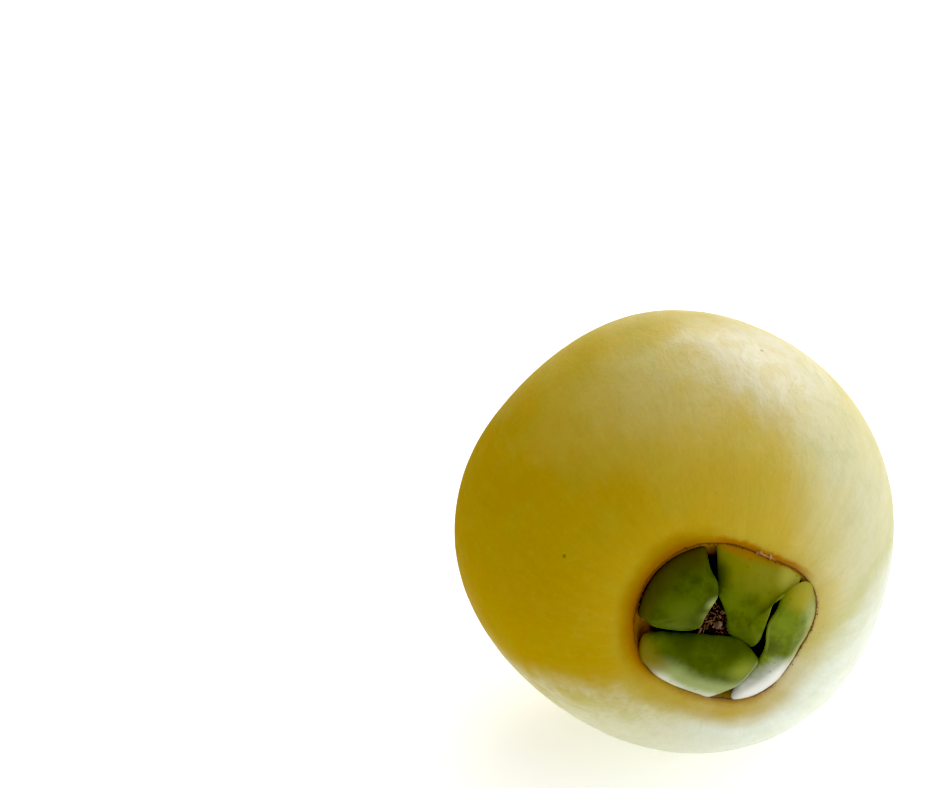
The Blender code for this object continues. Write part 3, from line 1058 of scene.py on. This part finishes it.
def stalkRadius(share, angle):
    swell = 1.0 + 0.35 * (1 - share) ** 3 + 0.15 * share ** 4
    grain = roundNoise(angle, 2.6, share * 1.1) + 0.5 * roundNoise(angle, 7.0, share * 6.0)
    return stalk["radius"] * swell + stalk["ridge"] * grain


def stalkMiddle(share):
    bend = stalk["bend"] * share ** 2
    return fruitCentre + Vector((bend, stalk["foot"] + share * stalk["length"], stalk["lift"] * bend))


def makeStalk(finish):
    build = bmesh.new()
    turns = [2 * pi * i / stalk["sides"] for i in range(stalk["sides"])]
    rings = []
    for j in range(stalk["rings"] + 1):
        share = j / stalk["rings"]
        last = 1.0 if j < stalk["rings"] else stalk["cutRadius"]
        ring = []
        for angle in turns:
            radius = stalkRadius(share, angle) * last
            offset = Vector((cos(angle), 0, sin(angle))) * radius
            ring.append(build.verts.new(stalkMiddle(share) + offset))
        rings.append(ring)
    # the cut: a rim, then a slightly sunk and torn face
    for j in range(1, stalk["cutRings"]):
        share = 1.0 - j / stalk["cutRings"]
        ring = []
        for angle in turns:
            radius = stalkRadius(1.0, angle) * stalk["cutRadius"] * share
            torn = stalk["tear"] * roundNoise(angle, share * 4, 3.1)
            sunk = torn - stalk["cutDepth"] * (1 - share ** 4)
            offset = Vector((cos(angle) * radius, min(sunk, 0.0), sin(angle) * radius))
            ring.append(build.verts.new(stalkMiddle(1.0) + offset))
        rings.append(ring)
    for lower, upper in zip(rings, rings[1:]):
        bridge(build, upper, lower)
    build.faces.new(rings[0])
    build.faces.new(rings[-1][::-1])
    bmesh.ops.recalc_face_normals(build, faces=build.faces[:])
    return meshObject("cut_stalk", build, finish)


def barkMaterial():
    made, sheet, shader, place = newMaterial("stalkBark")
    x, y, z = sheet.split(place)
    grain = sheet.noise(sheet.join(x, y * 0.18, z), 2400.0, 4.0, 0.7)
    patch = sheet.noise(place, 700.0, 3.0)
    tip = stalkMiddle(1.0)
    cut = y.smooth(tip.y - 0.32 * mm, tip.y - 0.22 * mm)
    fromMiddle = lengthOf(x - tip.x, z - tip.z)
    ringed = (fromMiddle * 9000.0 + patch * 5.0).sin() * 0.25 + 0.5
    colour = sheet.coats(
        sheet.mix(grain.smooth(0.3, 0.7), stalk["bark"], stalk["paleBark"]),
        (patch.smooth(0.5, 0.75) * 0.5, stalk["moss"]),
        (fromMiddle.smooth(1.42 * mm, 1.2 * mm) * cut,
         sheet.mix(ringed, stalk["wood"], stalk["paleWood"])))
    sheet.fill(shader, {"Base Color": colour, "Roughness": 0.78,
                        "Normal": sheet.bump(grain, 0.12 * mm)})
    return made


cutStalk = makeStalk(barkMaterial())
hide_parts("stalk")
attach(cutStalk, "root")
print("tuft and stalk made")


# Camera: the photograph's line of sight, with the fruit off centre as it is there

shot = {
    "width": 940, "height": 788,
    "focal": 3325.0,  # pixels
    "fruitAt": (678.0, 531.0),  # where the fruit's centre falls, in pixels
    "distance": 0.35,
    "side": radians(13.6),  # of the camera, round the fruit from its flower end
    "above": radians(28.0),
    "sensor": 36.0,
    "clip": (0.01, 20.0),
}


def makeCamera():
    vx = (shot["fruitAt"][0] - shot["width"] / 2) / shot["focal"]
    vy = -(shot["fruitAt"][1] - shot["height"] / 2) / shot["focal"]
    reach = sqrt(1 + vx * vx + vy * vy)
    side, above = shot["side"], shot["above"]
    rise = asin(reach * sin(above) / sqrt(1 + vy * vy)) + atan(vy)
    turn = side - atan(vx / (cos(rise) + vy * sin(rise)))
    right = Vector((cos(turn), -sin(turn), 0))
    ahead = Vector((sin(turn) * cos(rise), cos(turn) * cos(rise), -sin(rise)))
    up = right.cross(ahead)
    place = fruitCentre + shot["distance"] * Vector(
        (-sin(side) * cos(above), -cos(side) * cos(above), sin(above)))
    data = bpy.data.cameras.new("camera")
    data.sensor_fit = "HORIZONTAL"
    data.sensor_width = shot["sensor"]
    data.lens = shot["focal"] * shot["sensor"] / shot["width"]
    data.clip_start, data.clip_end = shot["clip"]
    camera = newObject("camera", data)
    turned = Matrix((right, up, -ahead)).transposed().to_4x4()
    camera.matrix_world = Matrix.Translation(place) @ turned
    bpy.context.scene.camera = camera


# Studio: pale floor, soft light all round, a large window to the right

studio = {
    "floorSize": 6.0,
    "floorHeight": -0.02 * mm,
    "floor": (0.86, 0.86, 0.85),
    "floorGlow": 0.53,  # a light table
    "worldLow": 0.17,
    "worldHigh": 0.70,
    "sky": (1.0, 1.0, 0.985, 1.0),
    "brightSide": Vector((0.80, 0.35, 0.40)).normalized(),
    "lamps": {  # place, size and watts
        "window": ((0.50, 0.85, 0.58), (0.75, 0.5), 5.9),
        "overhead": ((0.15, 0.05, 1.20), (1.0, 1.0), 2.3),
        "side": ((0.80, -0.60, 0.45), (0.6, 0.5), 1.15),
        "fill": ((-0.70, -0.90, 0.60), (0.8, 0.8), 0.9),
    },
    "black": 0.012,  # what prints as black and as white
    "white": 0.92,
}


def makeStudio():
    build = bmesh.new()
    bmesh.ops.create_grid(build, x_segments=2, y_segments=2, size=studio["floorSize"] / 2)
    bmesh.ops.translate(build, verts=build.verts[:], vec=(0, 0, studio["floorHeight"]))
    made, sheet, shader, place = newMaterial("paleFloor")
    tint = tuple(c * 0.985 for c in studio["floor"])
    sheet.fill(shader, {
        "Base Color": sheet.mix(sheet.noise(place, 9.0, 3.0), studio["floor"], tint),
        "Roughness": 0.9,
        "Specular IOR Level": 0.2,
        "Emission Color": (*studio["floor"], 1.0),
        "Emission Strength": studio["floorGlow"],
    })
    floor = meshObject("floor", build, made)

    for name, (place, size, watts) in studio["lamps"].items():
        data = bpy.data.lights.new(name, "AREA")
        data.shape = "RECTANGLE"
        data.size, data.size_y = size
        data.energy = watts
        towards = (fruitCentre - Vector(place)).to_track_quat("-Z", "Y").to_matrix().to_4x4()
        newObject(name, data).matrix_world = Matrix.Translation(place) @ towards

    world = bpy.data.worlds.new("studio")
    world.use_nodes = True
    world.node_tree.nodes.clear()
    sheet = Sheet(world.node_tree)
    ways = sheet.split(sheet.add("ShaderNodeTexCoord").outputs["Generated"])
    strength = dot(*ways, studio["brightSide"]).smooth(-0.9, 0.9)
    strength = strength * (studio["worldHigh"] - studio["worldLow"]) + studio["worldLow"]
    glow = sheet.add("ShaderNodeBackground", {"Color": studio["sky"], "Strength": strength})
    sheet.add("ShaderNodeOutputWorld", {"Surface": glow})
    bpy.context.scene.world = world
    view = bpy.context.scene.view_settings
    view.view_transform = "Standard"
    view.use_curve_mapping = True
    view.curve_mapping.black_level = [studio["black"]] * 3
    view.curve_mapping.white_level = [studio["white"]] * 3
    view.curve_mapping.update()


makeCamera()
makeStudio()
print("camera and studio set")
